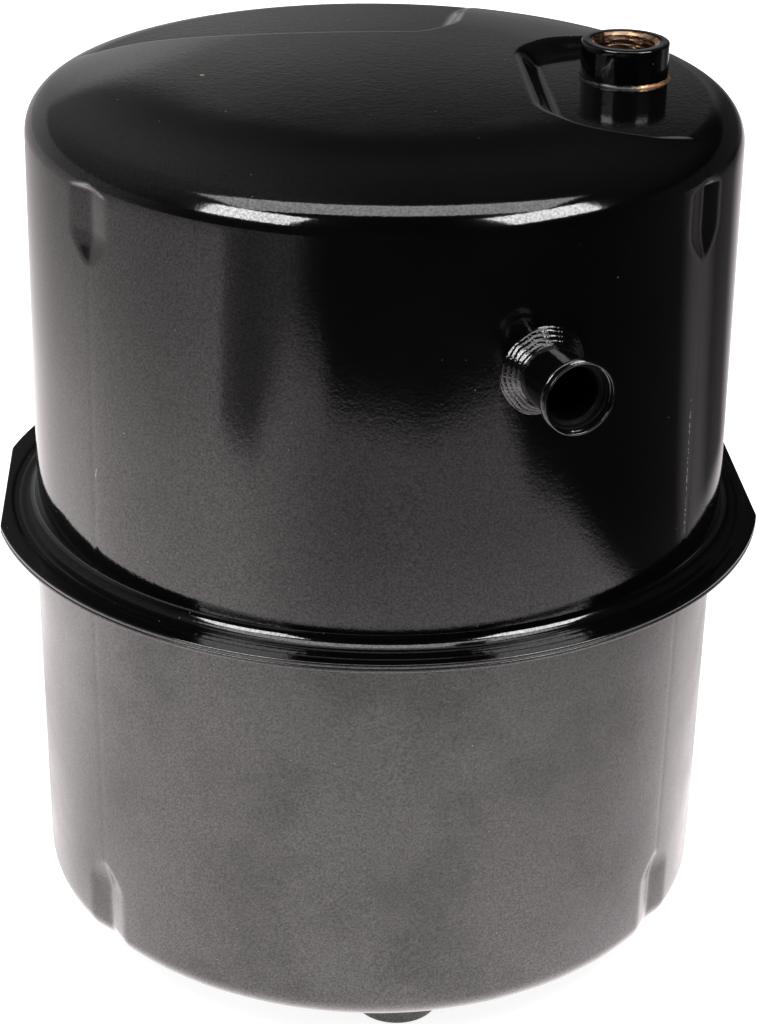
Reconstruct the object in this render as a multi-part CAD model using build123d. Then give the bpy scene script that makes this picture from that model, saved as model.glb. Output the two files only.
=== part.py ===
"""Hydraulic reservoir: two drawn steel cups welded at a mid-height flange, with two threaded
bosses and one beaded return tube.  Millimetres, +Z up.  The origin is on the upper cup's axis,
in the plane where the two flanges meet.  Azimuths are measured from the front (-Y) towards +X."""
from build123d import *
import os
from math import atan2, cos, degrees, radians, sin, tan

# sheet metal cups
sheet = 1.4                   # thickness of the drawn sheet
joint_radius = 116.0          # outside of each cup's wall where it meets the flange
end_radius = 115.0            # outside of the wall at its far end: the cups are drawn with draft
upper_corner = 12.0           # outside radius between wall and end face
lower_corner = 9.0            # the same, at the flat bottom
upper_height = 141.0          # joint plane to the rim level of the top face
lower_height = 140.0          # joint plane to the flat bottom
flange_bend = 4.0             # outside radius between wall and flange
lower_shift = 1.3             # the lower cup sits this far to -X of the upper one

# flange outline, sheared once through both sheets
flange_radius = 130.0
flange_centre = (-0.8, 2.0)
flat_left = -127.0
flat_right = 125.5
track_inner = 121.3           # shallow track left by the seam-welding wheels
track_outer = 124.8
track_depth = 0.2
nugget_width = 2.6            # fused ring between the sheets, under the track
nugget_height = 1.0

# raised plateau of the top face, with a soft crown at its rim and steep steps elsewhere
plateau_height = 4.5
crown_angle = 20.0            # slope of the crown where it meets the corner
step_angle = 40.0             # steepness of the steps down to the pocket and the recess

# darts: upright grooves in the walls near the end faces
dart_azimuths = (-54.0, 54.0, 180.0)
dart_radius = 25.0
dart_depth = 2.0              # reached one dart_run from the pointed end
dart_run = 28.0
dart_tip = 34.0               # from the rim level to a dart's pointed end
dart_end = 10.0               # from the rim level to the flat end of an upper dart

# threaded bosses, 1/2 in pipe thread half couplings
boss_radius = 14.3
boss_length = 24.0
boss_bore_radius = 9.15
boss_chamfer = 1.6            # at each mouth of the bore
boss_edge = 0.8               # outer edges
top_boss_place = (78.5, 12.0)
top_boss_proud = 12.0
outlet_place = (3.0, -82.0)
outlet_proud = 14.0
braze_leg = 1.3
boss_clearance = 0.1

# return tube, a hose end with a rolled bead
tube_azimuth = 20.3
tube_height = 88.0
tube_radius = 9.5
tube_wall = 1.3
tube_mouth = 138.5            # distance of the mouth from the axis
tube_inner_end = 100.0
bead_radius = 11.3
bead_width = 3.0
weld_toe = 15.4               # outer radius of the weld on the wall
weld_rise = 4.5               # how far the weld climbs the tube

# inside: baffle, deflector and suction strainer
baffle_radius = 108.0
baffle_level = -30.0          # top of the plate
baffle_sheet = 1.5
baffle_hole_radius = 5.0
baffle_hole_circles = ((35.0, 6), (62.0, 12), (88.0, 18))
bracket_width = 24.0
bracket_reach = 18.0
bracket_drop = 30.0
bracket_azimuths = (-120.0, 0.0, 120.0)
deflector_size = 36.0
deflector_gap = 14.0          # from the tube's inner end to the plate
deflector_sheet = 1.5
strainer_radius = 17.0
strainer_wall = 1.0
strainer_height = 52.0
strainer_collar = 6.0
strainer_slots = 10


def polar(radius, azimuth):
    """Plan position at a radius and an azimuth."""
    return radius * sin(radians(azimuth)), -radius * cos(radians(azimuth))


def wall_radius(height, inset=0.0):
    """Radius of a cup's drafted wall at a height from the joint plane."""
    slope = (joint_radius - end_radius) / (upper_height - upper_corner)
    return joint_radius - inset - slope * abs(height)


def crown_points(height, inset):
    """Where the crown leaves the corner, its middle, and where it reaches the level plateau."""
    angle = radians(crown_angle)
    round_radius = upper_corner - inset
    centre_r = end_radius - upper_corner
    centre_z = height - upper_corner
    start = (centre_r + round_radius * sin(angle), centre_z + round_radius * cos(angle))
    top = height + plateau_height - inset
    radius = (top - start[1]) / (1 - cos(angle))
    level_r = start[0] - radius * sin(angle)
    half = angle / 2
    middle = (level_r + radius * sin(half), top - radius * (1 - cos(half)))
    return start, middle, (level_r, top)


def cup_face(height, corner, inset, crowned):
    """Half section of one cup's envelope, drawn in the XZ plane with the joint plane at z = 0."""
    bend = flange_bend + inset
    floor = sheet - inset
    foot_r = joint_radius + flange_bend
    side_r = joint_radius - inset
    top_r = end_radius - inset
    round_radius = corner - inset
    centre_r = end_radius - corner
    centre_z = height - corner

    def on_corner(angle):
        turn = radians(angle)
        return centre_r + round_radius * cos(turn), centre_z + round_radius * sin(turn)

    with BuildSketch(Plane.XZ) as face:
        with BuildLine():
            Line((0, 0), (foot_r, 0))
            if inset == 0:
                Line((foot_r, 0), (foot_r, floor))
            RadiusArc((foot_r, floor), (side_r, floor + bend), bend)
            Line((side_r, floor + bend), (top_r, centre_z))
            if crowned:
                start, middle, level = crown_points(height, inset)
                ThreePointArc((top_r, centre_z), on_corner((90 - crown_angle) / 2), start)
                ThreePointArc(start, middle, level)
                Polyline(level, (0, level[1]), (0, 0))
            else:
                ThreePointArc((top_r, centre_z), on_corner(45), (centre_r, height - inset))
                Polyline((centre_r, height - inset), (0, height - inset), (0, 0))
        make_face()
    return face.sketch


def envelope(height, corner, inset, crowned=False):
    """Solid of revolution inside one surface of a cup: inset 0 is the outside, sheet the inside."""
    return revolve(cup_face(height, corner, inset, crowned), Axis.Z)


def pocket_sketch(grow):
    """Plan outline of the pocket for the top boss: open to the rim on +X."""
    with BuildSketch() as plan:
        with BuildLine():
            Polyline((50.5, 26), (50.5, -35), (62, -53), (78, -55), (110, -44), (130, -44),
                     (130, 46), (90, 46), (60, 37), (50.5, 26))
        make_face()
        fillet(plan.vertices().filter_by(lambda v: v.X < 100 and v.Y > 0), 16)
        fillet(plan.vertices().filter_by(lambda v: v.X < 100 and v.Y < -20), 18)
        offset(amount=grow, kind=Kind.ARC)
    return plan.sketch


def recess_sketch(grow):
    """Plan outline of the recess at the left rear: open to the rim, its long side slightly bowed."""
    with BuildSketch() as plan:
        with BuildLine():
            ThreePointArc((-100, 40), (-45, 53), (14, 57))
            Polyline((14, 57), (24, 66), (34, 104), (34, 140), (-140, 140), (-140, 40), (-100, 40))
        make_face()
        corners = plan.vertices().filter_by(lambda v: 10 < v.X < 34.5 and v.Y < 110)
        fillet(corners, 7)
        offset(amount=grow, kind=Kind.ARC)
    return plan.sketch


def step_cutters(height, inset):
    """Prisms with sloping sides that lower the plateau to rim level in the pocket and the recess."""
    grow = inset * tan(radians(step_angle / 2))
    rise = plateau_height + 4
    cutters = []
    for sketch in (pocket_sketch(grow), recess_sketch(grow)):
        cutters.append(extrude(Pos(0, 0, height - inset) * sketch, rise, taper=step_angle - 90))
    return cutters


def dart_cutters(height, inset, flat_ended):
    """Leaning cylinders outside the wall.  The upper darts stop at a flat end below the rim; the
    lower ones run out through the corner."""
    lean = degrees(atan2(dart_depth, dart_run))
    radius = dart_radius + inset
    start = height - dart_tip
    reach = wall_radius(start) + dart_radius
    above = Pos(0, 0, height - dart_end + inset) * Cylinder(
        3 * end_radius, 50, align=(Align.CENTER, Align.CENTER, Align.MIN))
    cutters = []
    for azimuth in dart_azimuths:
        x, y = polar(reach, azimuth)
        place = Location((x, y, start), (0, 0, azimuth)) * Rotation(-lean, 0, 0)
        cutter = place * Pos(0, 0, dart_run) * Cylinder(radius, 3 * dart_run)
        if flat_ended:
            cutter -= above
        cutters.append(cutter)
    return cutters


def flange_plate(level):
    """One sheet of the flange, sheared round with two flats, as a plate from level up one sheet."""
    disc = Pos(flange_centre[0], flange_centre[1]) * Circle(flange_radius)
    window = Pos((flat_left + flat_right) / 2, 0) * Rectangle(flat_right - flat_left, 3 * flange_radius)
    return Pos(0, 0, level) * extrude(disc & window, sheet)


def cup(height, corner, crowned):
    """One drawn cup with its flange, standing on the joint plane."""
    outside = envelope(height, corner, 0)
    inside = envelope(height, corner, sheet)
    if crowned:
        plateau = envelope(height, corner, 0, True)
        plateau_inside = envelope(height, corner, sheet, True)
        for cutter in step_cutters(height, 0):
            plateau -= cutter
        for cutter in step_cutters(height, sheet):
            plateau_inside -= cutter
        outside += plateau
        inside += plateau_inside
    for cutter in dart_cutters(height, 0, crowned):
        outside -= cutter
    for cutter in dart_cutters(height, sheet, crowned):
        inside -= cutter
    return outside, inside


def weld_track():
    """Ring cut from the outside of a flange, standing on the joint plane."""
    ring = Circle(track_outer) - Circle(track_inner)
    return Pos(0, 0, sheet - track_depth) * extrude(ring, 1)


def nugget_ring():
    """Fused ring of the seam weld, half in each sheet."""
    middle = (track_inner + track_outer) / 2
    ring = Circle(middle + nugget_width / 2) - Circle(middle - nugget_width / 2)
    return Pos(0, 0, -nugget_height / 2) * extrude(ring, nugget_height)


def boss_hole(place, level):
    """Hole in an end face that takes a boss."""
    return Pos(place[0], place[1], level) * Cylinder(boss_radius + boss_clearance, 20)


def tube_axis():
    """Plane at the tube's mouth, looking out along the tube."""
    x, y = polar(1, tube_azimuth)
    return Plane((tube_mouth * x, tube_mouth * y, tube_height), x_dir=(0, 0, 1), z_dir=(x, y, 0))


def along_tube(sketch, start, length):
    """Extrude a section along the tube from a distance off the tank's axis."""
    return extrude(tube_axis().offset(start - tube_mouth) * sketch, length)


def upper_shell():
    outside, inside = cup(upper_height, upper_corner, True)
    shell = outside + flange_plate(0) - inside - weld_track() - nugget_ring()
    shell -= boss_hole(top_boss_place, upper_height)
    shell -= along_tube(Circle(tube_radius + boss_clearance), tube_inner_end, 30)
    return shell


def lower_shell():
    outside, inside = cup(lower_height, lower_corner, False)
    shift = Pos(-lower_shift, 0, 0)
    outside = shift * mirror(outside, Plane.XY)
    inside = shift * mirror(inside, Plane.XY)
    shell = outside + flange_plate(-sheet) - inside - mirror(weld_track(), Plane.XY) - nugget_ring()
    return shell - boss_hole(outlet_place, -lower_height)


def boss(place, outer_face, way_up):
    """Half coupling whose outer face is at a level; way_up is 1 for the top and -1 for the bottom."""
    body = Cylinder(boss_radius, boss_length, align=(Align.CENTER, Align.CENTER, Align.MAX))
    body = chamfer(body.edges().filter_by(GeomType.CIRCLE), boss_edge)
    body -= Cylinder(boss_bore_radius, boss_length, align=(Align.CENTER, Align.CENTER, Align.MAX))
    mouth = Cone(boss_bore_radius, boss_bore_radius + boss_chamfer, boss_chamfer,
                 align=(Align.CENTER, Align.CENTER, Align.MAX))
    body -= mouth
    body -= Pos(0, 0, -boss_length) * mirror(mouth, Plane.XY)
    if way_up < 0:
        body = mirror(body, Plane.XY)
    return Pos(place[0], place[1], outer_face) * body


def braze_ring(place, level, way_up):
    """Small fillet of filler metal round a boss, with a hollow face."""
    inner = boss_radius
    outer = boss_radius + braze_leg
    hollow = (inner + braze_leg * 0.36, braze_leg * 0.42)
    with BuildSketch(Plane.XZ) as face:
        with BuildLine():
            Polyline((outer, 0), (inner, 0), (inner, braze_leg))
            ThreePointArc((inner, braze_leg), hollow, (outer, 0))
        make_face()
    ring = revolve(face.sketch, Axis.Z)
    if way_up < 0:
        ring = mirror(ring, Plane.XY)
    return Pos(place[0], place[1], level) * ring


def return_tube():
    """Thin tube through the upper wall, its mouth rolled into a bead inside and out."""
    length = tube_mouth - tube_inner_end
    bore = tube_radius - tube_wall
    swell = bead_radius - tube_radius
    with BuildSketch(Plane.XZ) as face:
        with BuildLine():
            Polyline((bore, -length), (tube_radius, -length), (tube_radius, -bead_width - 1.5))
            Spline((tube_radius, -bead_width - 1.5), (bead_radius, -bead_width / 2), (bead_radius - 0.5, 0),
                   tangents=((0, 1), (-0.9, 0.5)))
            Line((bead_radius - 0.5, 0), (bead_radius - 0.5 - tube_wall, 0))
            Spline((bead_radius - 0.5 - tube_wall, 0), (bore + swell * 0.8, -bead_width / 2),
                   (bore, -bead_width - 1.5), tangents=((0.6, -0.8), (0, -1)))
            Line((bore, -bead_width - 1.5), (bore, -length))
        make_face()
    return tube_axis().location * revolve(face.sketch, Axis.Z)


def return_tube_weld():
    """Weld round the tube's root, lying on the curved wall."""
    root = wall_radius(tube_height)
    collar = Cone(weld_toe, tube_radius + 0.4, weld_rise + 1, align=(Align.CENTER, Align.CENTER, Align.MIN))
    collar = tube_axis().offset(root - 1 - tube_mouth).location * collar
    collar -= envelope(upper_height, upper_corner, 0)
    return collar - along_tube(Circle(tube_radius), tube_inner_end, tube_mouth - tube_inner_end)


def baffle_plate():
    """Perforated plate between the return and the outlet, notched to clear the strainer."""
    plate = Circle(baffle_radius)
    for circle_radius, count in baffle_hole_circles:
        plate -= PolarLocations(circle_radius, count) * Circle(baffle_hole_radius)
    return Pos(-lower_shift, 0, baffle_level - baffle_sheet) * extrude(plate, baffle_sheet)


def baffle_bracket(azimuth):
    """Bent strap: one leg against the wall, one under the baffle plate."""
    reach = wall_radius(baffle_level - bracket_drop, sheet) - 0.2
    top = baffle_level - baffle_sheet
    strip = Pos(0, -reach / 2) * Rectangle(bracket_width, reach)
    leg = (Circle(reach) - Circle(reach - baffle_sheet)) & strip
    foot = (Circle(reach) - Circle(reach - bracket_reach)) & strip
    strap = Pos(0, 0, top - bracket_drop) * extrude(leg, bracket_drop)
    strap += Pos(0, 0, top - baffle_sheet) * extrude(foot, baffle_sheet)
    return Pos(-lower_shift, 0, 0) * Rotation(0, 0, azimuth) * strap


def return_deflector():
    """Plate in front of the tube's inner end, on two legs that reach the wall."""
    half = deflector_size / 2
    face = tube_inner_end - deflector_gap
    reach = (wall_radius(tube_height, sheet) ** 2 - half ** 2) ** 0.5 - 0.3
    plate = along_tube(Rectangle(deflector_size, deflector_size), face, deflector_sheet)
    for side in (-1, 1):
        leg = Pos(0, side * (half - deflector_sheet / 2)) * Rectangle(deflector_size, deflector_sheet)
        plate += along_tube(leg, face, reach - face)
    return plate


def strainer_base():
    """Level of the outlet boss's inner end, where the strainer's collar sits."""
    return -lower_height - outlet_proud + boss_length


def strainer_collar_ring():
    ring = Circle(strainer_radius) - Circle(boss_bore_radius)
    return Pos(outlet_place[0], outlet_place[1], strainer_base()) * extrude(ring, strainer_collar)


def strainer_screen():
    """Slotted tube that keeps coarse dirt out of the outlet."""
    outer = strainer_radius
    tube = extrude(Circle(outer) - Circle(outer - strainer_wall), strainer_height)
    slot = Pos(outer, 0, strainer_height / 2) * Box(4 * strainer_wall, 3, strainer_height - 14)
    for turn in range(strainer_slots):
        tube -= Rotation(0, 0, turn * 360 / strainer_slots) * slot
    return Pos(outlet_place[0], outlet_place[1], strainer_base() + strainer_collar) * tube


def strainer_cap():
    """Shallow disc that closes the screen."""
    disc = extrude(Circle(strainer_radius), 2)
    return Pos(outlet_place[0], outlet_place[1], strainer_base() + strainer_collar + strainer_height) * disc


def pieces():
    """Every node and its solid."""
    nodes = {
        "upper_shell": upper_shell(),
        "lower_shell": lower_shell(),
        "seam_weld": nugget_ring(),
        "top_port_boss": boss(top_boss_place, upper_height + top_boss_proud, 1),
        "top_port_braze": braze_ring(top_boss_place, upper_height, 1),
        "outlet_boss": boss(outlet_place, -lower_height - outlet_proud, -1),
        "outlet_braze": braze_ring(outlet_place, -lower_height, -1),
        "return_tube": return_tube(),
        "return_tube_weld": return_tube_weld(),
        "baffle_plate": baffle_plate(),
        "return_deflector": return_deflector(),
        "strainer_collar": strainer_collar_ring(),
        "strainer_screen": strainer_screen(),
        "strainer_cap": strainer_cap(),
    }
    for name, azimuth in zip(("left", "front", "right"), bracket_azimuths):
        nodes["baffle_bracket_" + name] = baffle_bracket(azimuth)
    return nodes


os.makedirs("parts", exist_ok=True)
for node, solid in pieces().items():
    export_step(solid, "parts/" + node + ".step")
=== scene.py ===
"""Looks of the hydraulic reservoir: fine shell, boss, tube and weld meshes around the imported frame,
procedural paint and metal, plain pale floor, soft lights and the camera.  Lengths in the shape
functions are millimetres and become metres when a mesh is made."""
import math

import bpy
import numpy as np
from mathutils import Matrix, Vector


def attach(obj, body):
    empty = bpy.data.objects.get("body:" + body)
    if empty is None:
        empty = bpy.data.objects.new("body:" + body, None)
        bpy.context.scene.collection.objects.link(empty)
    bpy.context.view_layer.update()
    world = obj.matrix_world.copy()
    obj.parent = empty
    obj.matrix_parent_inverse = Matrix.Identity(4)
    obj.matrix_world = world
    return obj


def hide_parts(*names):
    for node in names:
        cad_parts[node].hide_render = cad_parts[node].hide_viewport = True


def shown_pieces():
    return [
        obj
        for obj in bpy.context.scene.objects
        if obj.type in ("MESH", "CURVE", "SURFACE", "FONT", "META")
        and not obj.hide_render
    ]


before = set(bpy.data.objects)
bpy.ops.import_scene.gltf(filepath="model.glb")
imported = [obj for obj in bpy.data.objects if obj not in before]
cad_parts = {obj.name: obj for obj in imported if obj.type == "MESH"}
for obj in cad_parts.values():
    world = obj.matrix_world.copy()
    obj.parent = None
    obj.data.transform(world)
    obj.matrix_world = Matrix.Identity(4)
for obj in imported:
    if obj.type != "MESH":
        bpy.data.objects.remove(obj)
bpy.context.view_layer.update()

MM = 0.001
TURN = 2 * math.pi

# shells, as in the CAD
SHEET = 1.4
JOINT_R, END_R, UPPER_CORNER, LOWER_CORNER = 116.0, 115.0, 12.0, 9.0
UPPER_H, LOWER_H = 141.0, 140.0
BEND = 4.0
LOWER_SHIFT = -1.3
FLANGE_R, FLANGE_C = 129.95, (-0.8, 2.0)
FLAT_LEFT, FLAT_RIGHT = -127.0, 125.5
TRACK_IN, TRACK_OUT, TRACK_DEPTH = 121.3, 124.8, 0.2
PLATEAU, CROWN_ANGLE, STEP_ANGLE = 4.5, math.radians(20), math.radians(40)
CROWN_START = 56.0            # radius where the level plateau begins to fall
DARTS = tuple(math.radians(a) for a in (-54, 54, 180))
DART_DEPTH, DART_TIP, DART_END, DART_HALF = 2.0, 34.0, 10.0, 8.9
AROUND = 720                  # points round a shell
OUTER_ROWS = (132, 36, 24, 34)  # rows on the end face, corner, darts and wall
INNER_ROWS = (66, 18, 12, 12)

# bosses, tube and welds
BOSS_R, BOSS_LENGTH, BORE_R, BOSS_CHAMFER, BOSS_EDGE = 14.3, 24.0, 9.15, 1.6, 0.5
THREAD_PITCH, THREAD_DEPTH = 1.814, 1.15
TOP_BOSS, TOP_FACE = (78.5, 12.0), 153.0
OUTLET, OUTLET_FACE = (3.0, -82.0), -154.0
TUBE_AZ, TUBE_Z, TUBE_R, TUBE_WALL = math.radians(20.3), 88.0, 9.5, 1.3
TUBE_MOUTH, TUBE_END, BEAD_R = 138.5, 100.0, 11.3
WELD_TOE, WELD_RISE = 15.4, 4.5
BRAZE_LEG = 1.3
HOLE_GAP = 0.05

# shared colours
BLACK = (0.0011, 0.001, 0.001)
DUST = (0.42, 0.41, 0.39)


def ease(a, b, x):
    t = np.clip((x - a) / (b - a), 0, 1)
    return t * t * (3 - 2 * t)


def soft_min(a, b, k):
    h = np.clip(0.5 + 0.5 * (b - a) / k, 0, 1)
    return b * (1 - h) + a * h - k * h * (1 - h)


def soft_max(a, b, k):
    return -soft_min(-a, -b, k)


def random_waves(rng, angle, counts, least, fade=0.0):
    """Sum of sine waves round a circle, each with a random size and phase."""
    return sum(rng.uniform(least, 1) * np.sin(n * angle + rng.uniform(0, TURN)) / n**fade for n in counts)


# ---------------------------------------------------------------- meshes

def make_object(name, mesh, slot, replaced=()):
    obj = bpy.data.objects.new(name, mesh)
    bpy.context.scene.collection.objects.link(obj)
    if slot:
        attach(obj, "root")
    if replaced:
        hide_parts(*replaced)
    return obj


def mesh_from(name, points, quads, tris=(), quad_mats=None):
    """Mesh from points in millimetres, turned so that its normals point outwards."""
    points = np.asarray(points, float) * MM
    quads = np.asarray(quads, np.int64).reshape(-1, 4)
    tris = np.asarray(tris, np.int64).reshape(-1, 3)
    a, b, c, d = (points[quads[:, k]] for k in range(4))
    volume = np.einsum("ij,ij->", a, np.cross(b, c)) + np.einsum("ij,ij->", a, np.cross(c, d))
    if len(tris):
        e, f, g = (points[tris[:, k]] for k in range(3))
        volume += np.einsum("ij,ij->", e, np.cross(f, g))
    if volume < 0:
        quads, tris = quads[:, ::-1], tris[:, ::-1]
    mesh = bpy.data.meshes.new(name)
    mesh.vertices.add(len(points))
    mesh.vertices.foreach_set("co", points.ravel())
    corners = np.concatenate([quads.ravel(), tris.ravel()])
    mesh.loops.add(len(corners))
    mesh.loops.foreach_set("vertex_index", corners.astype(np.int32))
    starts = np.concatenate([np.arange(len(quads)) * 4, len(quads) * 4 + np.arange(len(tris)) * 3])
    mesh.polygons.add(len(quads) + len(tris))
    mesh.polygons.foreach_set("loop_start", starts.astype(np.int32))
    if quad_mats is not None:
        mats = np.concatenate([quad_mats, np.zeros(len(tris), np.int32)])
        mesh.polygons.foreach_set("material_index", mats.astype(np.int32))
    mesh.update(calc_edges=True)
    mesh.validate()
    return mesh


def grid(rows, loop=False, row_mats=None):
    """Points and faces of rows that each close on themselves.  A loop joins the last row to the
    first; otherwise a row of one point at either end is a pole."""
    counts = [len(r) for r in rows]
    starts = np.concatenate([[0], np.cumsum(counts)])
    around = max(counts)
    j = np.arange(around)
    k = (j + 1) % around
    quads, tris, mats = [], [], []
    pairs = [(i, i + 1) for i in range(len(rows) - 1)]
    if loop:
        pairs.append((len(rows) - 1, 0))
    for i, n in pairs:
        if counts[i] == 1:
            tris.append(np.stack([np.full(around, starts[i]), starts[n] + j, starts[n] + k], 1))
        elif counts[n] == 1:
            tris.append(np.stack([starts[i] + j, np.full(around, starts[n]), starts[i] + k], 1))
        else:
            quads.append(np.stack([starts[i] + j, starts[n] + j, starts[n] + k, starts[i] + k], 1))
            mats.append(np.full(around, row_mats[i] if row_mats else 0))
    tris = np.concatenate(tris) if tris else ()
    return np.concatenate(rows), np.concatenate(quads), tris, np.concatenate(mats)


def shade(mesh, angle=35):
    mesh.shade_smooth()
    mesh.set_sharp_from_angle(angle=math.radians(angle))


def cut(obj, cutters):
    """Cut closed cutter meshes out of an object and keep the result as its mesh."""
    for cutter in cutters:
        mod = obj.modifiers.new("cut", "BOOLEAN")
        mod.operation = "DIFFERENCE"
        mod.solver = "MANIFOLD"
        mod.object = cutter
    depsgraph = bpy.context.evaluated_depsgraph_get()
    mesh = bpy.data.meshes.new_from_object(obj.evaluated_get(depsgraph))
    obj.modifiers.clear()
    mesh.materials.clear()
    mesh.polygons.foreach_set("material_index", np.zeros(len(mesh.polygons), np.int32))
    old, obj.data = obj.data, mesh
    bpy.data.meshes.remove(old)
    for cutter in cutters:
        bpy.data.objects.remove(cutter)


def drum(place, radius):
    """Plain closed cylinder used only as a cutter; place is a matrix in millimetres."""
    around, reach = 192, 20.0
    angle = np.arange(around) * TURN / around
    rows = [np.array([[0, 0, -reach]])]
    for z in (-reach, reach):
        rows.append(np.stack([radius * np.cos(angle), radius * np.sin(angle), np.full(around, z)], 1))
    rows.append(np.array([[0, 0, reach]]))
    rows = [r @ np.array(place.to_3x3()).T + np.array(place.translation) for r in rows]
    points, quads, tris, mats = grid(rows)
    return make_object("cutter", mesh_from("cutter", points, quads, tris), None)


# ---------------------------------------------------------------- plan outlines of the top face

def rounded(points, radii):
    """Closed outline with an arc of the given radius at each corner, or none where it is 0."""
    line = []
    count = len(points)
    for i in range(count):
        p = np.array(points[i], float)
        radius = radii[i]
        if not radius:
            line.append(p)
            continue
        u = np.array(points[i - 1], float) - p
        v = np.array(points[(i + 1) % count], float) - p
        u, v = u / np.linalg.norm(u), v / np.linalg.norm(v)
        half = math.acos(float(np.clip(u @ v, -1, 1))) / 2
        reach = radius / math.tan(half)
        centre = p + (u + v) / np.linalg.norm(u + v) * radius / math.sin(half)
        a, b = p + u * reach - centre, p + v * reach - centre
        for t in np.linspace(0, 1, 9):
            w = a * (1 - t) + b * t
            line.append(centre + w / np.linalg.norm(w) * radius)
    return np.array(line)


def bowed(start, middle, end):
    """Points of the arc through three points."""
    (ax, ay), (bx, by), (cx, cy) = start, middle, end
    d = 2 * (ax * (by - cy) + bx * (cy - ay) + cx * (ay - by))
    ux = ((ax**2 + ay**2) * (by - cy) + (bx**2 + by**2) * (cy - ay) + (cx**2 + cy**2) * (ay - by)) / d
    uy = ((ax**2 + ay**2) * (cx - bx) + (bx**2 + by**2) * (ax - cx) + (cx**2 + cy**2) * (bx - ax)) / d
    radius = math.hypot(ax - ux, ay - uy)
    first, last = math.atan2(ay - uy, ax - ux), math.atan2(cy - uy, cx - ux)
    turns = np.linspace(first, last, 24)
    return [(ux + radius * math.cos(t), uy + radius * math.sin(t)) for t in turns]


POCKET = rounded([(50.5, 26), (50.5, -35), (62, -53), (78, -55), (110, -44),
                  (150, -44), (150, 46), (90, 46), (60, 37)], (16, 18, 18, 18, 0, 0, 0, 16, 16))
RECESS_SIDE = bowed((-100, 40), (-45, 53), (14, 57))
RECESS = rounded(RECESS_SIDE + [(24, 66), (34, 104), (34, 150), (-150, 150), (-150, 40)],
                 [0] * (len(RECESS_SIDE) - 1) + [7, 7, 7, 0, 0, 0])


def outside_of(x, y, outline):
    """Distance outside a closed outline, negative inside it."""
    shape = x.shape
    p = np.stack([x.ravel(), y.ravel()], 1)
    a, b = outline, np.roll(outline, -1, 0)
    best = np.full(len(p), 1e9)
    inside = np.zeros(len(p), bool)
    for (ax, ay), (bx, by) in zip(a, b):
        ex, ey = bx - ax, by - ay
        length = ex * ex + ey * ey
        if length < 1e-9:
            continue
        t = np.clip(((p[:, 0] - ax) * ex + (p[:, 1] - ay) * ey) / length, 0, 1)
        best = np.minimum(best, np.hypot(p[:, 0] - ax - t * ex, p[:, 1] - ay - t * ey))
        if ay != by:
            crosses = (ay > p[:, 1]) != (by > p[:, 1])
            inside ^= crosses & (p[:, 0] < ax + (p[:, 1] - ay) * ex / ey)
    return np.where(inside, -best, best).reshape(shape)


# ---------------------------------------------------------------- shells

def top_level(x, y, base):
    """Height of the top face: rim-level floors, plateau with its crown, and the steps between."""
    r = np.hypot(x, y)
    leave_r = END_R - UPPER_CORNER + UPPER_CORNER * math.sin(CROWN_ANGLE)
    leave_z = UPPER_H - UPPER_CORNER + UPPER_CORNER * math.cos(CROWN_ANGLE)
    top = UPPER_H + PLATEAU
    power = math.tan(CROWN_ANGLE) * (leave_r - CROWN_START) / (top - leave_z)
    crown = top - (top - leave_z) * np.clip((r - CROWN_START) / (leave_r - CROWN_START), 0, 1) ** power
    crown = np.where(r > leave_r, base, crown)
    slope = math.tan(STEP_ANGLE)
    # the upper edges of the steps are rounded, more so towards the rim
    pocket_round = 1.2 + 3 * ease(62, 90, x)
    recess_round = 0.9 + 4 * ease(84, 106, r)
    foot_round = 1.5 * (1 - ease(90, 103, r)) + 0.02
    raised = soft_min(crown, UPPER_H + slope * outside_of(x, y, POCKET), pocket_round)
    raised = soft_min(raised, UPPER_H + slope * outside_of(x, y, RECESS), recess_round)
    return soft_max(base, raised, foot_round)


def dart_depth(angle, height, far, radius, flat_ended):
    """How far the darts press the wall in: V grooves with a bluntly pointed end.  The upper ones
    have a flat end below the rim."""
    climb = np.clip((height - far + DART_TIP) / 10, 0, 1)
    deepest = DART_DEPTH * (1 - (1 - climb) ** 1.7)
    if flat_ended:
        deepest = deepest * (1 - ease(far - DART_END - 1.5, far - DART_END + 1.5, height))
    total = 0.0
    for dart in DARTS:
        off = (angle - dart + math.pi) % TURN - math.pi
        along = np.sqrt((off * radius) ** 2 + 0.5) - 0.7
        depth = deepest - along * DART_DEPTH / DART_HALF
        total = total + soft_max(depth, 0, 0.3) * (depth > -0.3)
    return total


def drawn_waves(angle, height, seed):
    """Slight unevenness of a drawn wall, a few hundredths of a millimetre."""
    rng = np.random.default_rng(seed)
    total = 0.0
    for _ in range(14):
        lobes = int(rng.integers(3, 26))
        lift = rng.uniform(-0.03, 0.03)
        size = rng.uniform(0.3, 1.0) / (1 + lobes / 12)
        total = total + size * np.sin(lobes * angle + lift * height + rng.uniform(0, TURN))
    return total * 0.02


def ray_to_circle(angle, start_x, centre, radius):
    """Distance along each plan ray from (start_x, 0) to a circle."""
    dx, dy = np.sin(angle), -np.cos(angle)
    ox, oy = start_x - centre[0], -centre[1]
    b = ox * dx + oy * dy
    return -b + np.sqrt(b * b - (ox * ox + oy * oy - radius * radius))


def flange_edge(angle, start_x, inset):
    edge = ray_to_circle(angle, start_x, FLANGE_C, FLANGE_R - inset)
    dx = np.sin(angle)
    with np.errstate(divide="ignore"):
        left = np.where(dx < 0, (FLAT_LEFT + inset - start_x) / np.where(dx < 0, dx, 1), 1e9)
        right = np.where(dx > 0, (FLAT_RIGHT - inset - start_x) / np.where(dx > 0, dx, 1), 1e9)
    return np.minimum(edge, np.minimum(left, right))


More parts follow.
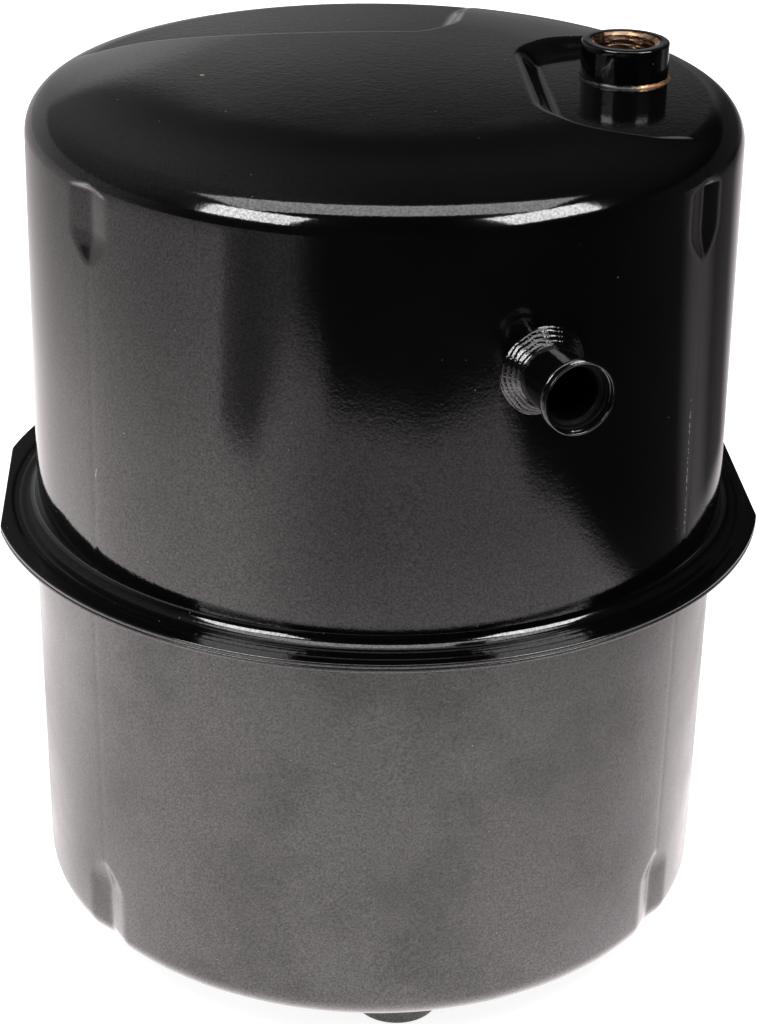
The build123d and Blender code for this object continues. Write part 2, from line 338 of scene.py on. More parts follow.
def cup_side(height, corner, inset, crowned, shift, steps, seed):
    """Rows of one face of a cup from its pole to where the flange bend begins."""
    angle = np.arange(AROUND) * TURN / AROUND
    top_rows, corner_rows, dart_rows, wall_rows = steps
    flat = [(r, height) for r in np.linspace(END_R - corner, 0, top_rows + 1)[:-1][::-1]]
    bend = corner - inset
    turns = np.linspace(math.pi / 2, 0, corner_rows + 1)[1:]
    rounds = [(END_R - corner + bend * math.cos(t), height - corner + bend * math.sin(t) + inset)
              for t in turns]
    low = SHEET + BEND
    split = height - DART_TIP - 2
    upright = list(np.linspace(height - corner, split, dart_rows + 1)[1:])
    upright += list(np.linspace(split, low, wall_rows + 1)[1:])
    slope = (JOINT_R - END_R) / (height - corner)
    walls = [(JOINT_R - inset - slope * (h - low), h + inset) for h in upright]
    r = np.array([p[0] for p in flat + rounds + walls])[:, None] * np.ones(AROUND)
    h = np.array([p[1] for p in flat + rounds + walls])[:, None] * np.ones(AROUND)
    if crowned:
        raised = len(flat) + corner_rows // 3
        x, y = r[:raised] * np.sin(angle), -r[:raised] * np.cos(angle)
        h[:raised] = top_level(x, y, h[:raised])
    r = r - dart_depth(angle, h, height, END_R, crowned) * ease(90, END_R - corner + 1, r)
    held = (1 - ease(height - 30, height - 6, h) * 0.75) * ease(100, 112, r) * ease(low - 2, low + 14, h)
    r = r + drawn_waves(angle, h, seed) * held
    h = h - inset
    rows = [np.array([[shift, 0.0, h[0].mean()]])]
    for ring_r, ring_h in zip(r, h):
        rows.append(np.stack([shift + ring_r * np.sin(angle), -ring_r * np.cos(angle), ring_h], 1))
    return rows


def flange_rows(shift):
    """Rows from the outer bend over the weld track, round the sheared edge to the inner bend."""
    angle = np.arange(AROUND) * TURN / AROUND
    rows = []

    def add(radius, level):
        radius = radius * np.ones(AROUND)
        rows.append(np.stack([shift + radius * np.sin(angle), -radius * np.cos(angle),
                              level * np.ones(AROUND)], 1))

    foot = JOINT_R + BEND
    for t in np.linspace(0, math.pi / 2, 9)[1:]:
        add(foot - BEND * math.cos(t), SHEET + BEND - BEND * math.sin(t))
    inner = ray_to_circle(angle, shift, (0, 0), TRACK_IN + (0.9 if shift else 0))
    outer = ray_to_circle(angle, shift, (0, 0), TRACK_OUT)
    wheel = 0.035 * np.sin(angle * 230)
    add(inner, SHEET)
    add(inner + 0.35, SHEET - 0.03)
    add(inner + 0.8, SHEET - TRACK_DEPTH + wheel * 0.4)
    add((inner * 2 + outer) / 3, SHEET - TRACK_DEPTH + wheel)
    add((inner + outer * 2) / 3, SHEET - TRACK_DEPTH + wheel)
    add(outer - 0.7, SHEET - TRACK_DEPTH + wheel * 0.4)
    add(outer - 0.25, SHEET - 0.04)
    add(outer + 0.15, SHEET)
    edge = flange_edge(angle, shift, 0)
    rounding = 0.42
    for t in (0.3, 0.62, 0.9):
        add(outer + 0.15 + (edge - rounding - outer - 0.15) * t, SHEET)
    for t in np.linspace(0, math.pi / 2, 6):
        add(edge - rounding + rounding * math.sin(t), SHEET - rounding + rounding * math.cos(t))
    for t in np.linspace(0, math.pi / 2, 6):
        add(edge - rounding + rounding * math.cos(t), rounding - rounding * math.sin(t))
    for t in (0.35, 0.7):
        add(edge - rounding + (foot - edge + rounding) * t, 0)
    bend = BEND + SHEET
    for t in np.linspace(math.pi / 2, 0, 7):
        add(foot - bend * math.cos(t), bend - bend * math.sin(t))
    return rows


def shell(name, height, corner, crowned, shift, side, seed):
    """One cup with its flange, outside and inside; side is 1 for the upper cup, -1 for the lower."""
    outer = cup_side(height, corner, 0, crowned, shift, OUTER_ROWS, seed)
    inner = cup_side(height, corner, SHEET, crowned, shift, INNER_ROWS, seed)
    rows = outer + flange_rows(shift) + inner[:-1][::-1]
    for row in rows:
        row[:, 2] *= side
    points, quads, tris, mats = grid(rows)
    return make_object(name, mesh_from(name, points, quads, tris), "black_paint", [name])


# ---------------------------------------------------------------- bosses, tube, welds

def boss(name, node, place, face, way_up):
    """Half coupling with a cut thread: painted outside, bare where it is threaded."""
    around = 144
    angle = np.arange(around) * TURN / around
    rows, mats = [], []

    def add(radius, depth, bare=0):
        radius = radius * np.ones(around)
        rows.append(np.stack([place[0] + radius * np.cos(angle), place[1] + radius * np.sin(angle),
                              np.full(around, face - way_up * depth)], 1))
        mats.append(bare)

    turned = BOSS_EDGE
    mouth = BORE_R + BOSS_CHAMFER
    for depth in np.linspace(turned, BOSS_LENGTH - turned, 13)[::-1]:
        add(BOSS_R, depth)
    for t in np.linspace(0, math.pi / 2, 6)[1:]:
        add(BOSS_R - turned + turned * math.cos(t), turned - turned * math.sin(t))
    add((BOSS_R + mouth) / 2, 0)
    add(mouth + 0.25, 0, 1)
    add(mouth + 0.06, 0.07, 1)
    for depth in np.linspace(0.16, BOSS_LENGTH - 0.16, 150):
        phase = (depth / THREAD_PITCH * way_up + angle / TURN) % 1
        tooth = np.clip(np.abs(phase * 2 - 1) * 1.25 - 0.12, 0, 1)
        cone = mouth - min(depth, BOSS_LENGTH - depth)
        add(np.maximum(BORE_R + THREAD_DEPTH * tooth, cone), depth, 1)
    add(mouth + 0.06, BOSS_LENGTH - 0.07, 1)
    add(mouth + 0.25, BOSS_LENGTH)
    for t in np.linspace(0, math.pi / 2, 5)[:-1]:
        add(BOSS_R - turned + turned * math.sin(t), BOSS_LENGTH - turned + turned * math.cos(t))
    points, quads, tris, mats = grid(rows, loop=True, row_mats=mats)
    return make_object(name, mesh_from(name, points, quads, tris, mats), "black_paint", [node])


def braze(name, node, place, face, way_up, seed):
    """Fillet of filler metal round a boss, its leg and its face a little uneven."""
    around = 180
    angle = np.arange(around) * TURN / around
    rng = np.random.default_rng(seed)
    wave = random_waves(rng, angle, (2, 3, 5, 8, 13, 21), 0.3)
    leg = np.clip(BRAZE_LEG * (0.72 + 0.06 * wave), 0.55, BRAZE_LEG)
    sunk = 0.25
    rows = []
    for t in np.linspace(0, 1, 9):
        curve = math.radians(90 * t)
        r = BOSS_R + leg * (1 - math.sin(curve) * 0.98)
        z = leg * (1 - math.cos(curve)) * (1 - 0.1 * np.sin(34 * angle))
        rows.append((r, z))
    rows.append((BOSS_R - sunk + 0 * angle, leg * 0.95))
    rows.append((BOSS_R - sunk + 0 * angle, -sunk + 0 * angle))
    rows.append((BOSS_R + leg, -sunk + 0 * angle))
    rows = [np.stack([place[0] + r * np.cos(angle), place[1] + r * np.sin(angle),
                      face + way_up * (z * np.ones(around))], 1) for r, z in rows]
    points, quads, tris, mats = grid(rows, loop=True)
    return make_object(name, mesh_from(name, points, quads, tris), "bronze_filler", [node])


TUBE_OUT = np.array([math.sin(TUBE_AZ), -math.cos(TUBE_AZ), 0.0])
TUBE_SIDE = np.array([math.cos(TUBE_AZ), math.sin(TUBE_AZ), 0.0])


def tube_points(radius, angle, reach):
    """Points round the tube's axis: angle 0 is straight up, reach is from the tank's axis."""
    reach = reach * np.ones(len(angle))
    radius = radius * np.ones(len(angle))
    return (reach[:, None] * TUBE_OUT + (radius * np.sin(angle))[:, None] * TUBE_SIDE
            + np.outer(TUBE_Z + radius * np.cos(angle), (0, 0, 1)))


def tube():
    """Thin tube with a rolled bead behind its turned lip, belled at the mouth; the gloss paint ends
    just inside it, and beyond it a dull film is painted shade in the bore."""
    angle = np.arange(144) * TURN / 144
    bore = TUBE_R - TUBE_WALL
    profile = [(TUBE_R, TUBE_END)]
    profile += [(TUBE_R, s) for s in np.linspace(TUBE_END + 8, TUBE_MOUTH - 6.2, 8)]
    crest = TUBE_MOUTH - 3.1
    lip_r = BEAD_R - 0.05
    lip_end = TUBE_MOUTH - 0.1
    for s in np.linspace(TUBE_MOUTH - 5.4, lip_end - 0.2, 26):
        bead = (BEAD_R - TUBE_R) * math.exp(-abs((s - crest) / 1.3) ** 2.6)
        lip = (lip_r - TUBE_R) * ease(TUBE_MOUTH - 2.9, TUBE_MOUTH - 0.5, s)
        profile.append((TUBE_R + max(bead, lip), s))
    half_lip = 0.32
    for t in np.linspace(0, math.pi, 8)[1:-1]:
        profile.append((lip_r - half_lip + half_lip * math.cos(t), lip_end - 0.2 + 0.2 * math.sin(t)))
    belled = lip_r - 2 * half_lip - 0.02
    profile += [(belled, lip_end - d) for d in (0.2, 0.7)]
    # the gloss paint ends here; the rows further in carry the dull film of painted shade
    painted = len(profile) - 1
    profile += [(belled, lip_end - d) for d in (1.2, 2.1, 2.8)]
    fillet = 0.8
    shoulder_r, shoulder = belled - fillet, TUBE_MOUTH - 2.8
    for t in np.linspace(0, math.pi / 2, 8)[1:]:
        profile.append((shoulder_r + fillet * math.cos(t), shoulder - fillet * math.sin(t)))
    for t in np.linspace(0, 1, 7)[1:]:
        profile.append((shoulder_r + (bore - shoulder_r) * t, shoulder - fillet - 1.2 * t * t))
    profile += [(bore, s) for s in np.linspace(TUBE_MOUTH - 7, TUBE_END, 8)]
    rows = [tube_points(r, angle, s) for r, s in profile]
    inside = [0] * painted + [1] * (len(rows) - painted - 1) + [0]
    points, quads, tris, mats = grid(rows, loop=True, row_mats=inside)
    return make_object("return_hose_tube", mesh_from("return_hose_tube", points, quads, quad_mats=mats),
                       "black_paint", ["return_tube"])


def wall_reach(side, up):
    """Distance from the tank's axis, along the tube, to the wall."""
    radius = JOINT_R - (JOINT_R - END_R) / (UPPER_H - UPPER_CORNER) * (TUBE_Z + up)
    return np.sqrt(radius**2 - side**2)


def tube_weld():
    """Hand-laid weld: overlapping ripples round the tube's root, its toe a little uneven."""
    around, across = 420, 46
    angle = np.arange(around) * TURN / around
    rng = np.random.default_rng(8)
    wave = random_waves(rng, angle, (2, 3, 5, 7, 11), 0.4, 0.5)
    toe = np.clip(WELD_TOE - 1.5 + 0.25 * wave, TUBE_R + 3, WELD_TOE)
    fine = random_waves(rng, angle, (29, 41, 53, 67, 83), 0.4) / 3
    lumps = [(rng.uniform(0.5, 1), int(rng.integers(2, 16)), rng.uniform(-5, 5), rng.uniform(0, TURN))
             for _ in range(12)]
    rows = []
    inner = TUBE_R - 0.1
    for t in np.linspace(1, 0, across):
        radius = inner + (toe - inner) * t
        rise = WELD_RISE * (1 - t) ** 1.35
        uneven = sum(a * np.sin(n * angle + k * t + p) for a, n, k, p in lumps) / 6
        phase = (4.4 * t + 0.2 * np.sin(3 * angle + 1) + 0.1 * fine + 0.3 * uneven) % 1
        ring = (0.25 + 0.11 * uneven + 0.07 * fine * t) * (1 - np.abs(2 * phase - 1) ** 2.2)
        side, up = radius * np.sin(angle), radius * np.cos(angle)
        height = np.clip(rise + ring * min(1, (1 - t) * 6) * min(1, t * 5), 0, WELD_RISE)
        rows.append(tube_points(radius, angle, wall_reach(side, up) + height))
    for radius in (inner, toe):
        side, up = radius * np.sin(angle), radius * np.cos(angle)
        rows.append(tube_points(radius, angle, wall_reach(side, up) - 0.3))
    points, quads, tris, mats = grid(rows, loop=True)
    return make_object("return_tube_root_weld", mesh_from("return_tube_root_weld", points, quads),
                       "black_paint", ["return_tube_weld"])


# ---------------------------------------------------------------- materials

def smooth_range(tree, value, low, high, out_low, out_high):
    """Value eased from out_low to out_high while the input goes from low to high."""
    node = tree.nodes.new("ShaderNodeMapRange")
    node.interpolation_type = "SMOOTHSTEP"
    tree.links.new(value, node.inputs["Value"])
    numbers = {"From Min": low, "From Max": high, "To Min": out_low, "To Max": out_high}
    for key, number in numbers.items():
        node.inputs[key].default_value = number
    return node.outputs["Result"]


class Graph:
    """Node graph of one material, built with short calls."""

    def __init__(self, name, base, roughness, metallic=0.0):
        self.mat = bpy.data.materials.new(name)
        self.mat.use_nodes = True
        self.tree = self.mat.node_tree
        self.shader = self.tree.nodes["Principled BSDF"]
        self.shader.inputs["Base Color"].default_value = (*base, 1)
        self.shader.inputs["Roughness"].default_value = roughness
        self.shader.inputs["Metallic"].default_value = metallic
        self.place = self.tree.nodes.new("ShaderNodeTexCoord").outputs["Object"]

    def put(self, socket, value):
        if isinstance(value, bpy.types.NodeSocket):
            self.tree.links.new(value, socket)
        else:
            socket.default_value = value

    def math(self, kind, a, b=0.0, clamp=False):
        node = self.tree.nodes.new("ShaderNodeMath")
        node.operation = kind
        node.use_clamp = clamp
        self.put(node.inputs[0], a)
        self.put(node.inputs[1], b)
        return node.outputs[0]

    def noise(self, scale, detail=2.0, rough=0.5, stretch=None):
        node = self.tree.nodes.new("ShaderNodeTexNoise")
        node.inputs["Scale"].default_value = scale
        node.inputs["Detail"].default_value = detail
        node.inputs["Roughness"].default_value = rough
        vector = self.place
        if stretch:
            mapping = self.tree.nodes.new("ShaderNodeMapping")
            mapping.inputs["Scale"].default_value = stretch
            self.tree.links.new(self.place, mapping.inputs["Vector"])
            vector = mapping.outputs["Vector"]
        self.tree.links.new(vector, node.inputs["Vector"])
        return node.outputs["Fac"]

    def axes(self):
        """X, Y and Z of the place on the object, in metres."""
        node = self.tree.nodes.new("ShaderNodeSeparateXYZ")
        self.tree.links.new(self.place, node.inputs[0])
        return node.outputs

    def ramp(self, value, low, high, out_low=0.0, out_high=1.0):
        return smooth_range(self.tree, value, low, high, out_low, out_high)

    def specks(self, scale, size, share):
        """Mask of small round specks: one cell in so many carries one."""
        node = self.tree.nodes.new("ShaderNodeTexVoronoi")
        node.inputs["Scale"].default_value = scale
        self.tree.links.new(self.place, node.inputs["Vector"])
        split = self.tree.nodes.new("ShaderNodeSeparateColor")
        self.tree.links.new(node.outputs["Color"], split.inputs[0])
        limit = self.math("MULTIPLY", split.outputs[1], size)
        near = self.math("LESS_THAN", node.outputs["Distance"], limit)
        return self.math("MULTIPLY", near, self.math("GREATER_THAN", split.outputs[0], 1 - share))

    def mix(self, factor, a, b):
        node = self.tree.nodes.new("ShaderNodeMix")
        node.data_type = "RGBA"
        self.put(node.inputs["Factor"], factor)
        for socket, value in ((node.inputs[6], a), (node.inputs[7], b)):
            self.put(socket, value if isinstance(value, bpy.types.NodeSocket) else (*value, 1))
        return node.outputs[2]

    def colour(self, value):
        self.put(self.shader.inputs["Base Color"], value)

    def rough(self, value):
        self.put(self.shader.inputs["Roughness"], value)

    def bump(self, layers):
        """Stack of bumps, each a height and the depth in metres that it stands for."""
        normal = None
        for height, depth in layers:
            node = self.tree.nodes.new("ShaderNodeBump")
            node.inputs["Strength"].default_value = 1.0
            node.inputs["Distance"].default_value = depth
            self.tree.links.new(height, node.inputs["Height"])
            if normal:
                self.tree.links.new(normal, node.inputs["Normal"])
            normal = node.outputs["Normal"]
        self.tree.links.new(normal, self.shader.inputs["Normal"])


def paint(name, film, gloss, stipple, dust_share, smudge):
    """Black enamel: fine stipple, a thin film of dust in soft patches, specks and rubbed spots."""
    g = Graph(name, BLACK, gloss)
    patches = g.noise(26, 4, 0.6)
    smudges = g.noise(34, 2, 0.5)
    haze = g.math("MULTIPLY", g.ramp(patches, 0.35, 0.75, film * 0.55, film),
                  g.ramp(smudges, 0.34, 0.62, 0.45, 1))
    specks = g.specks(300, 0.05, dust_share)
    grains = g.specks(620, 0.06, dust_share * 0.05)
    dust = g.math("MAXIMUM", specks, grains)
    under = g.mix(haze, BLACK, (0.12, 0.118, 0.114))
    g.base = g.mix(g.math("MULTIPLY", dust, 0.5), under, DUST)
    soft = g.math("ADD", g.ramp(patches, 0.3, 0.8, gloss * 0.85, gloss * 1.4),
                  g.math("MULTIPLY", g.noise(900, 3, 0.6), gloss * 0.3))
    g.colour(g.base)
    grain = g.ramp(g.noise(1500, 2, 0.7), 0.3, 0.7, 0.33, 0.66)
    blotch = g.ramp(g.noise(24, 3, 0.55), 0.36, 0.56, 1 - smudge, 1.0)
    g.put(g.shader.inputs["Specular IOR Level"], g.math("MULTIPLY", grain, blotch))
    g.gloss = g.math("ADD", soft, g.math("MULTIPLY", dust, 0.4), clamp=True)
    g.rough(g.gloss)
    depth = 0.000012 * stipple
    g.bump([(g.noise(430, 2, 0.5), depth), (g.noise(1100, 2, 0.5), depth)])
    return g


def marks(g):
    """Scuffs of the upper shell: a dotted line down the right wall, a scratch on the left wall
    and a chip on the top face."""
    x, y, z = g.axes()
    around = g.math("ARCTAN2", x, g.math("MULTIPLY", y, -1.0))

    def line(az, lean, low, high, half):
        drift = g.math("MULTIPLY", g.math("SUBTRACT", high, z), lean)
        off = g.math("ABSOLUTE", g.math("SUBTRACT", around, g.math("ADD", drift, math.radians(az))))
        across = g.math("LESS_THAN", off, half / (JOINT_R * MM))
        return g.math("MULTIPLY", across, g.math("MULTIPLY", g.math("GREATER_THAN", z, low),
                                                 g.math("LESS_THAN", z, high)))

    dots = g.math("GREATER_THAN", g.noise(620, 3, 0.7), 0.52)
    scuff = g.math("MULTIPLY", line(52.7, 0.28, 0.013, 0.0616, 0.00022), dots)
    scratch = line(-53.2, -1.6, 0.0372, 0.0402, 0.00018)
    dx, dy = g.math("ADD", x, 0.0584), g.math("ADD", y, 0.0008)
    far = g.math("SQRT", g.math("ADD", g.math("MULTIPLY", dx, dx), g.math("MULTIPLY", dy, dy)))
    chip = g.math("MULTIPLY", g.math("LESS_THAN", far, 0.0008), g.math("GREATER_THAN", z, 0.14))
    pale = g.math("MAXIMUM", g.math("MULTIPLY", scuff, 0.55), g.math("MULTIPLY", scratch, 0.6))
    worn = g.mix(pale, g.base, DUST)
    g.colour(g.mix(g.math("MULTIPLY", chip, 0.8), worn, (0.24, 0.15, 0.08)))
    marked = g.math("MAXIMUM", pale, chip)
    g.rough(g.math("ADD", g.gloss, g.math("MULTIPLY", marked, 0.4), clamp=True))


def part_painted(g, centre):
    """Filler metal mostly under overspray, left bare towards +X."""
    ragged = g.math("MULTIPLY", g.noise(420, 3, 0.6), 0.012)
    along = g.math("ADD", g.math("SUBTRACT", g.axes()[0], centre[0] * MM), ragged)
    bare = g.ramp(along, 0.0050, 0.0105)
    metal = g.shader.inputs["Base Color"].links[0].from_socket
    g.colour(g.mix(bare, BLACK, metal))
    g.put(g.shader.inputs["Metallic"], g.math("MULTIPLY", bare, 0.85))
    return g


def bare_metal(name, base, rust, roughness, scratch):
    """Bare machined or rolled steel with a bloom of rust."""
    g = Graph(name, base, roughness, 1.0)
    bloom = g.ramp(g.noise(160, 5, 0.65), 0.42, 0.68)
    fine = g.noise(1500, 3, 0.6, (1, 1, scratch))
    brown = g.mix(g.noise(700, 3, 0.6), rust, tuple(min(1, c * 2.1) for c in rust))
    g.colour(g.mix(bloom, base, brown))
    g.put(g.shader.inputs["Metallic"], g.math("SUBTRACT", 1.0, g.math("MULTIPLY", bloom, 0.75)))
    g.rough(g.math("ADD", g.math("MULTIPLY", bloom, 0.3), g.math("MULTIPLY", fine, roughness * 1.6)))
    g.bump([(bloom, 0.00004), (fine, 0.00002)])
    return g


def brighter_mouth(g, colour):
    """Bare chamfer at the mouth of a boss, lighter than the thread behind it."""
    height = g.math("ABSOLUTE", g.axes()[2])
    patchy = g.ramp(g.noise(300, 4, 0.6), 0.35, 0.6, 0.35, 1)
    mouth = g.math("MULTIPLY", g.ramp(height, 0.1510, 0.1524), patchy)
    g.colour(g.mix(mouth, g.shader.inputs["Base Color"].links[0].from_socket, colour))


def painted_bore_shade():
    """Dull black inside the tube, which mirrors next to nothing: painted shade in the bore."""
    g = Graph("bore_painted_shade", BLACK, 0.6)
    g.put(g.shader.inputs["Specular IOR Level"], 0.05)
    g.rough(g.ramp(g.noise(300, 3, 0.6), 0.3, 0.7, 0.5, 0.7))
    g.bump([(g.noise(700, 2, 0.5), 0.00002)])
    return g


upper_paint = paint("enamel_upper", 0.006, 0.07, 1.0, 0.4, 0.05)
marks(upper_paint)
lower_paint = paint("enamel_lower", 0.09, 0.19, 1.1, 0.3, 0.2)
fitting_paint = paint("enamel_fittings", 0.006, 0.09, 1.0, 0.3, 0.05)
thread_metal = bare_metal("thread_steel", (0.17, 0.10, 0.065), (0.05, 0.022, 0.010), 0.28, 6)
brighter_mouth(thread_metal, (0.34, 0.215, 0.13))
filler_metal = bare_metal("filler_bronze", (0.50, 0.32, 0.17), (0.16, 0.07, 0.03), 0.3, 1)
ring_fillers = []
for name, centre in (("top_filler", TOP_BOSS), ("outlet_filler", OUTLET)):
    ring_metal = bare_metal(name, (0.42, 0.29, 0.18), (0.17, 0.08, 0.04), 0.34, 1)
    ring_fillers.append(part_painted(ring_metal, centre))
top_filler, outlet_filler = ring_fillers
# painted shade inside the tube's bore
bore_shade_film = painted_bore_shade()
inner_steel = bare_metal("inner_steel", (0.5, 0.5, 0.5), (0.14, 0.08, 0.045), 0.33, 1)


# ---------------------------------------------------------------- the reservoir

upper = shell("upper_shell", UPPER_H, UPPER_CORNER, True, 0.0, 1, 3)
top_hole = Matrix.Translation((TOP_BOSS[0], TOP_BOSS[1], UPPER_H))
out = Vector(TUBE_OUT)
along_tube = out.to_track_quat("Z", "Y").to_matrix().to_4x4()
side_hole = Matrix.Translation(out * 120 + Vector((0, 0, TUBE_Z))) @ along_tube
cut(upper, [drum(top_hole, BOSS_R + HOLE_GAP), drum(side_hole, TUBE_R + HOLE_GAP)])
upper.data.materials.append(upper_paint.mat)

lower = shell("lower_shell", LOWER_H, LOWER_CORNER, False, LOWER_SHIFT, -1, 5)
cut(lower, [drum(Matrix.Translation((OUTLET[0], OUTLET[1], -LOWER_H)), BOSS_R + HOLE_GAP)])
lower.data.materials.append(lower_paint.mat)

top_boss = boss("top_half_coupling", "top_port_boss", TOP_BOSS, TOP_FACE, 1)
outlet_boss = boss("outlet_half_coupling", "outlet_boss", OUTLET, OUTLET_FACE, -1)
for piece in (top_boss, outlet_boss):
    piece.data.materials.append(fitting_paint.mat)
    piece.data.materials.append(thread_metal.mat)
top_ring = braze("top_filler_ring", "top_port_braze", TOP_BOSS, UPPER_H, 1, 11)
top_ring.data.materials.append(top_filler.mat)
outlet_ring = braze("outlet_filler_ring", "outlet_braze", OUTLET, -LOWER_H, -1, 12)
outlet_ring.data.materials.append(outlet_filler.mat)
hose_tube = tube()
for piece in (hose_tube, tube_weld()):
    piece.data.materials.append(fitting_paint.mat)
hose_tube.data.materials.append(bore_shade_film.mat)
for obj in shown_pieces():
    if obj.type == "MESH" and obj.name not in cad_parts:
        shade(obj.data)

for name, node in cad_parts.items():
    if name.startswith(("baffle", "return_deflector", "strainer", "seam")):
        metal = filler_metal if name == "strainer_collar" else inner_steel
        node.data.materials.clear()
        node.data.materials.append(metal.mat)


# ---------------------------------------------------------------- floor, lights, camera

FLOOR_Z = OUTLET_FACE * MM


def pale_floor(size):
    """Wide sheet under the tank; the gloss paint mirrors, instead of it, the sheet of painted reflection
    just over it.
    """
    mesh = bpy.data.meshes.new("floor")
    corners = [(x * size, y * size, FLOOR_Z) for x, y in ((-1, -1), (1, -1), (1, 1), (-1, 1))]
    mesh.from_pydata(corners, [], [(0, 1, 2, 3)])
    obj = bpy.data.objects.new("floor", mesh)
    bpy.context.scene.collection.objects.link(obj)
    obj.visible_glossy = False
    white = Graph("pale_floor", (0.6, 0.6, 0.6), 0.7)
    white.put(white.shader.inputs["Emission Color"], (1, 1, 1, 1))
    white.put(white.shader.inputs["Emission Strength"], 0.85)
    mesh.materials.append(white.mat)


pale_floor(60)


# Painted reflection of a lit table, for the gloss paint: brightness against the distance from the tank,
# in metres, to its front and its left, low right under the tank as a painted shadow; then, against the
# azimuth in degrees, how far the bright part reaches, how bright the dark part beyond it is, and how soft
# the edge between them is.
FRONT_GLOW = ((0.04, 0.09, 0.115, 0.16, 0.34, 0.43, 0.5, 0.58),
              (0.5, 1.1, 3.75, 3.3, 2.85, 1.45, 1.05, 0.95))
LEFT_GLOW = ((0.04, 0.09, 0.115, 0.16, 0.34, 0.43, 0.55, 0.64, 0.76, 0.9, 1.2, 3),
             (0.5, 1.1, 2.9, 2.75, 2.75, 2.3, 2.0, 1.6, 1.25, 1.0, 0.8, 0.7))
BRIGHT_REACH = ((-57, -50, -45, -40, -35, -30, -25, -22, -18, -10, 0, 10,
                 20, 30, 40, 45, 50, 55, 62, 70, 75, 80, 95, 180),
                (4, 0.62, 0.6, 0.6, 0.66, 0.74, 0.735, 0.72, 0.665, 0.655, 0.645, 0.635,
                 0.655, 0.68, 0.56, 0.54, 0.525, 0.5, 0.46, 0.42, 0.4, 0.37, 0.37, 0.5))
DARK_GLOW = ((-57, -50, -45, -40, -35, -30, -25, -20, 40, 70, 98, 105, 112, 120, 135, 150, 180),
             (0.6, 0.55, 0.33, 0.33, 0.42, 0.36, 0.08, 0.02, 0.012, 0.015, 0.04, 0.33, 0.3, 0.08,
              0.1, 0.9, 1.2))
EDGE_BLUR = ((-50, -40, -33, -21, -15), (0.02, 0.02, 0.08, 0.06, 0.02))


def painted_reflection_glow(x, y):
    """Painted reflection of the table for the gloss paint: bright near, low right under the tank as a
    painted shadow, dark beyond its edges.
    """
    angle = np.degrees(np.arctan2(x, -y))
    r = np.hypot(x, y)
    left = ease(-10, -55, angle)
    near = np.interp(r, *FRONT_GLOW) * (1 - left) + np.interp(r, *LEFT_GLOW) * left
    middle_left = ease(-75, -45, angle) * (1 - ease(-45, -10, angle))
    near = near * (1 + 0.12 * middle_left)
    near = near * (1 - 0.38 * ease(20, 75, angle) * (1 - ease(0.36, 0.5, r)))
    near = near * (1 - 0.28 * ease(-65, -85, angle) * (1 - ease(0.18, 0.3, r)))
    near = near * (1 - 0.32 * ease(95, 130, np.abs(angle)))
    edge = np.interp(angle, *BRIGHT_REACH)
    beyond = np.interp(angle, *DARK_GLOW)
    blur = np.interp(angle, *EDGE_BLUR)
    beyond = beyond * (1 - 0.85 * ease(1.3, 2.2, r) * ease(100, 140, angle))
    return beyond + (near - beyond) * (1 - ease(edge - blur, edge + blur * 1.5, r))


def painted_reflection_sheet():
    """Glowing sheet just over the floor that only reflections see and that lights nothing: a painted
    reflection of the table, carrying the glow worked out above.
    """
    around = 180
    level = FLOOR_Z + 0.0003
    angle = np.arange(around) * TURN / around
    radii = np.concatenate([np.linspace(0.02, 1.0, 130), np.geomspace(1.02, 6, 20)])
    rows = [np.stack([r * np.sin(angle), -r * np.cos(angle), np.full(around, level)], 1) for r in radii]
    points, quads, tris, mats = grid([row / MM for row in rows])
    mesh = mesh_from("painted_reflection_sheet", points, quads)
    glow = mesh.attributes.new("glow", "FLOAT", "POINT")
    xy = points[:, :2] * MM
    glow.data.foreach_set("value", painted_reflection_glow(xy[:, 0], xy[:, 1]).astype(np.float32))
    obj = bpy.data.objects.new("painted_reflection_sheet", mesh)
    bpy.context.scene.collection.objects.link(obj)
    mat = bpy.data.materials.new("painted_reflection_glow")
    mat.use_nodes = True
    tree = mat.node_tree
    tree.nodes.clear()
    value = tree.nodes.new("ShaderNodeAttribute")
    value.attribute_name = "glow"
    shine = tree.nodes.new("ShaderNodeEmission")
    result = tree.nodes.new("ShaderNodeOutputMaterial")
    shine.inputs["Color"].default_value = (1.04, 0.965, 0.972, 1)
    tree.links.new(value.outputs["Fac"], shine.inputs["Strength"])
    tree.links.new(shine.outputs[0], result.inputs[0])
    mesh.materials.append(mat)
    for ray in ("visible_camera", "visible_diffuse", "visible_transmission", "visible_shadow",
                "visible_volume_scatter"):
        setattr(obj, ray, False)


# painted reflection of the table, seen only in the gloss paint
painted_reflection_sheet()


def soft_light(name, azimuth, elevation, distance, width, height, radiance):
    """Rectangular light aimed at the tank, seen only in its gloss; azimuth is from the front
    towards +X, in degrees."""
    light = bpy.data.lights.new(name, "AREA")
    light.shape = "RECTANGLE"
    light.size, light.size_y = width, height
    light.energy = radiance * width * height * math.pi
    obj = bpy.data.objects.new(name, light)
    bpy.context.scene.collection.objects.link(obj)
    a, e = math.radians(azimuth), math.radians(elevation)
    towards = Vector((math.sin(a) * math.cos(e), -math.cos(a) * math.cos(e), math.sin(e)))
    obj.location = distance * towards
    obj.rotation_euler = (-obj.location).to_track_quat("-Z", "Y").to_euler()
    obj.visible_diffuse = False


soft_light("left_soft_light", -47, 36, 1.6, 0.75, 0.63, 17.5)
soft_light("right_soft_light", 51, 37, 1.6, 0.8, 0.6, 17.5)
soft_light("top_soft_light", 0, 76, 1.5, 2.1, 0.75, 4.6)
room = bpy.data.lights.new("room_light", "SUN")
room.energy, room.angle = 5.0, math.radians(80)
room_obj = bpy.data.objects.new("room_light", room)
bpy.context.scene.collection.objects.link(room_obj)
room_obj.visible_glossy = False

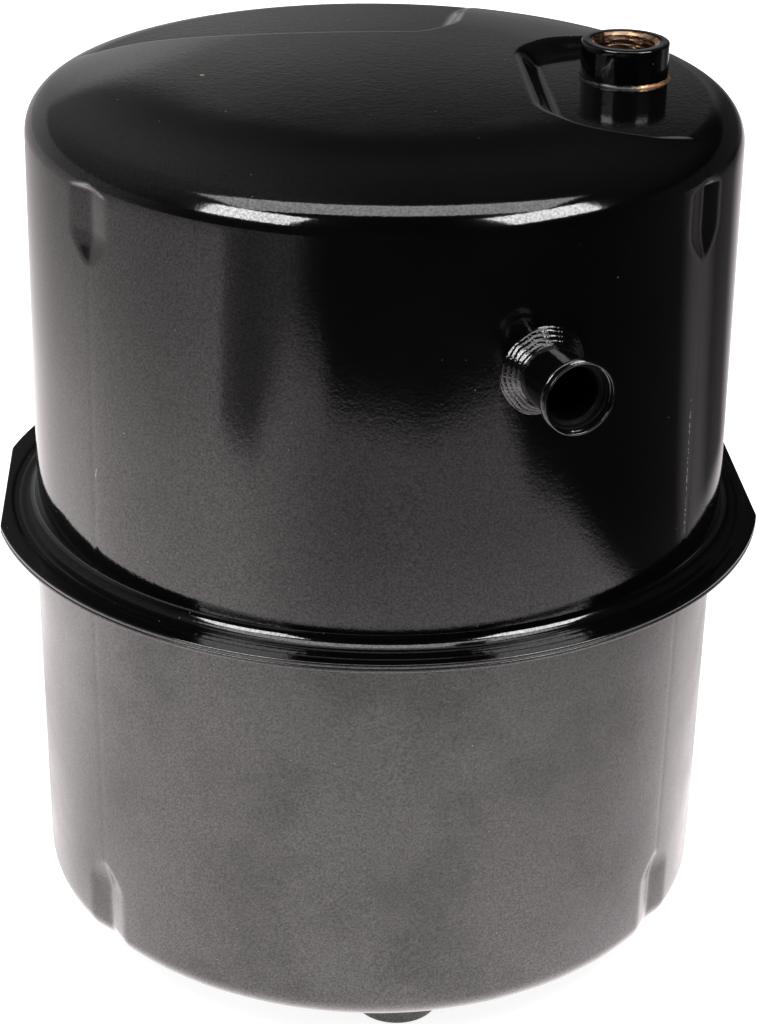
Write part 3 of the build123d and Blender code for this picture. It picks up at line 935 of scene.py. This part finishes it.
world = bpy.data.worlds.new("studio")
bpy.context.scene.world = world
world.use_nodes = True
sky_tree = world.node_tree
sky = sky_tree.nodes["Background"]
sky_place = sky_tree.nodes.new("ShaderNodeTexCoord")
sky_axes = sky_tree.nodes.new("ShaderNodeSeparateXYZ")
sky_tree.links.new(sky_place.outputs["Generated"], sky_axes.inputs[0])


def sky_range(axis, low, high, out_low, out_high):
    return smooth_range(sky_tree, sky_axes.outputs[axis], low, high, out_low, out_high)


def sky_math(kind, a, b):
    node = sky_tree.nodes.new("ShaderNodeMath")
    node.operation = kind
    sky_tree.links.new(a, node.inputs[0])
    sky_tree.links.new(b, node.inputs[1])
    return node.outputs[0]


# a band of light low behind the tank, brighter towards the left, and a faint glow above it
low_band = sky_range("Z", 0.2625, 0.2915, 0.34, 0.022)
sideways = sky_math("MULTIPLY", sky_range("X", -0.25, -0.04, 0.4, 1.0),
                    sky_range("X", -0.03, 0.09, 1.45, 0.8))
sideways = sky_math("MULTIPLY", sideways, sky_range("X", 0.12, 0.4, 1.0, 0.15))
high = sky_math("ADD", sky_range("Z", 0.33, 0.62, 0.0, 0.03),
                sky_range("X", -0.26, 0.04, 0.18, 0.0))
backdrop = sky_math("ADD", sky_math("MULTIPLY", low_band, sideways), high)
behind = sky_range("Y", -0.5, 0.3, 0.06, 1.0)
sky_tree.links.new(sky_math("MULTIPLY", backdrop, behind), sky.inputs["Strength"])
sky.inputs["Color"].default_value = (1, 1, 1, 1)

CAMERA_AT = (-0.05565, -0.7958, 0.3765)
CAMERA_TURN, CAMERA_DOWN, CAMERA_ROLL = (math.radians(a) for a in (-4.02, 25.83, 0.99))
camera_data = bpy.data.cameras.new("camera")
camera_data.lens = 90.31
camera_data.sensor_width = 36
camera = bpy.data.objects.new("camera", camera_data)
bpy.context.scene.collection.objects.link(camera)
aim = (Matrix.Rotation(CAMERA_TURN, 4, "Z") @ Matrix.Rotation(math.pi / 2 - CAMERA_DOWN, 4, "X")
       @ Matrix.Rotation(CAMERA_ROLL, 4, "Z"))
camera.matrix_world = Matrix.Translation(CAMERA_AT) @ aim
bpy.context.scene.camera = camera
bpy.context.scene.view_settings.view_transform = "Standard"
